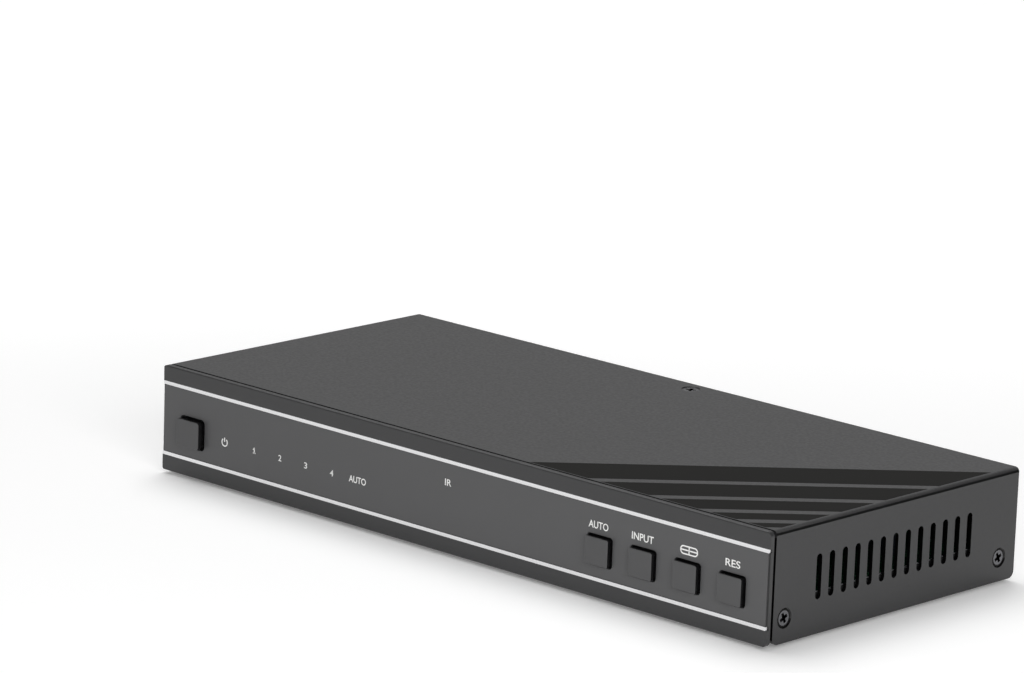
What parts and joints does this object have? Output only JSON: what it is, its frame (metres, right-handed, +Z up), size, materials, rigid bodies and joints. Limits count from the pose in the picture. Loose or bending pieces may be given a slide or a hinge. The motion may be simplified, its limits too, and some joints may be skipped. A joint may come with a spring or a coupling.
{
  "type": "video switch box",
  "caption": "Flat black steel switch box for digital video sources, with push buttons and indicators on a banded front panel, slotted sides and sockets at the rear.",
  "frame": {"origin": "on the table under the middle of the box: the middle of its width and of its depth over the power button and the rear sockets, at the underside of the rubber feet", "axes": "+Z up, the front panel faces -Y and the sockets face +Y, +X to the right seen from the front"},
  "size_m": [0.221, 0.1028, 0.0308],
  "materials": {
    "painted_steel": "satin black powder coat",
    "tray_steel": "satin black powder coat, bare cut edges",
    "foot_rubber": "matt black",
    "black_screw": "black oxide",
    "panel_plastic": "fine-grained black",
    "overlay_film": "satin printed film",
    "bright_trim": "bright satin",
    "button_plastic": "satin black",
    "switch_plastic": "matt black",
    "circuit_board": "green solder mask",
    "plain_screw": "zinc plated",
    "led_lens": "milky",
    "clear_plastic": "clear",
    "receiver_plastic": "dark tinted",
    "header_plastic": "ivory",
    "ribbon_vinyl": "satin grey",
    "standoff_brass": "turned",
    "chip_plastic": "matt moulded",
    "pad_silicone": "matt",
    "sink_aluminium": "extruded",
    "capacitor_can": "sleeved",
    "choke_ferrite": "matt ferrite",
    "socket_shell": "nickel plated",
    "socket_plastic": "moulded black",
    "contact_metal": "nickel plated"
  },
  "bodies": {
    "case": {"top_cover": "painted_steel", "chassis_tray": "tray_steel", "rubber_feet": "foot_rubber", "cover_side_screws": "black_screw", "cover_roof_screw": "black_screw", "panel_screws": "black_screw", "front_panel": "panel_plastic", "front_overlay": "overlay_film", "upper_trim_strip": "bright_trim", "lower_trim_strip": "bright_trim", "front_board": "circuit_board", "main_board": "circuit_board", "front_board_screws": "plain_screw", "board_screws": "plain_screw", "indicator_leds": "led_lens", "light_guides": "clear_plastic", "remote_receiver": "receiver_plastic", "front_ribbon_socket": "header_plastic", "main_ribbon_socket": "header_plastic", "ribbon_cable": "ribbon_vinyl", "board_standoffs": "standoff_brass", "main_processor": "chip_plastic", "thermal_pad": "pad_silicone", "heat_sink": "sink_aluminium", "capacitors": "capacitor_can", "power_choke": "choke_ferrite", "output_shell": "socket_shell", "socket_insulators": "socket_plastic", "power_inlet": "socket_plastic", "power_inlet_pin": "contact_metal", "audio_socket": "socket_plastic", "power_switch": "switch_plastic", "auto_switch": "switch_plastic", "input_switch": "switch_plastic", "view_switch": "switch_plastic", "resolution_switch": "switch_plastic", "input_1_shell": "socket_shell", "input_2_shell": "socket_shell", "input_3_shell": "socket_shell", "input_4_shell": "socket_shell"},
    "power_button_body": {"power_button": "button_plastic", "power_plunger": "switch_plastic"},
    "auto_button_body": {"auto_button": "button_plastic", "auto_plunger": "switch_plastic"},
    "input_button_body": {"input_button": "button_plastic", "input_plunger": "switch_plastic"},
    "view_button_body": {"view_button": "button_plastic", "view_plunger": "switch_plastic"},
    "resolution_button_body": {"resolution_button": "button_plastic", "resolution_plunger": "switch_plastic"}
  },
  "joints": [
    {"name": "power_press", "type": "slide", "parent": "case", "child": "power_button_body", "axis": [0, 1, 0], "range_m": [0, 0.0005], "stiffness_N_per_m": 2500, "springref_m": -0.0002},
    {"name": "auto_press", "type": "slide", "parent": "case", "child": "auto_button_body", "axis": [0, 1, 0], "range_m": [0, 0.0005], "stiffness_N_per_m": 2500, "springref_m": -0.0002},
    {"name": "input_press", "type": "slide", "parent": "case", "child": "input_button_body", "axis": [0, 1, 0], "range_m": [0, 0.0005], "stiffness_N_per_m": 2500, "springref_m": -0.0002},
    {"name": "view_press", "type": "slide", "parent": "case", "child": "view_button_body", "axis": [0, 1, 0], "range_m": [0, 0.0005], "stiffness_N_per_m": 2500, "springref_m": -0.0002},
    {"name": "resolution_press", "type": "slide", "parent": "case", "child": "resolution_button_body", "axis": [0, 1, 0], "range_m": [0, 0.0005], "stiffness_N_per_m": 2500, "springref_m": -0.0002}
  ]
}
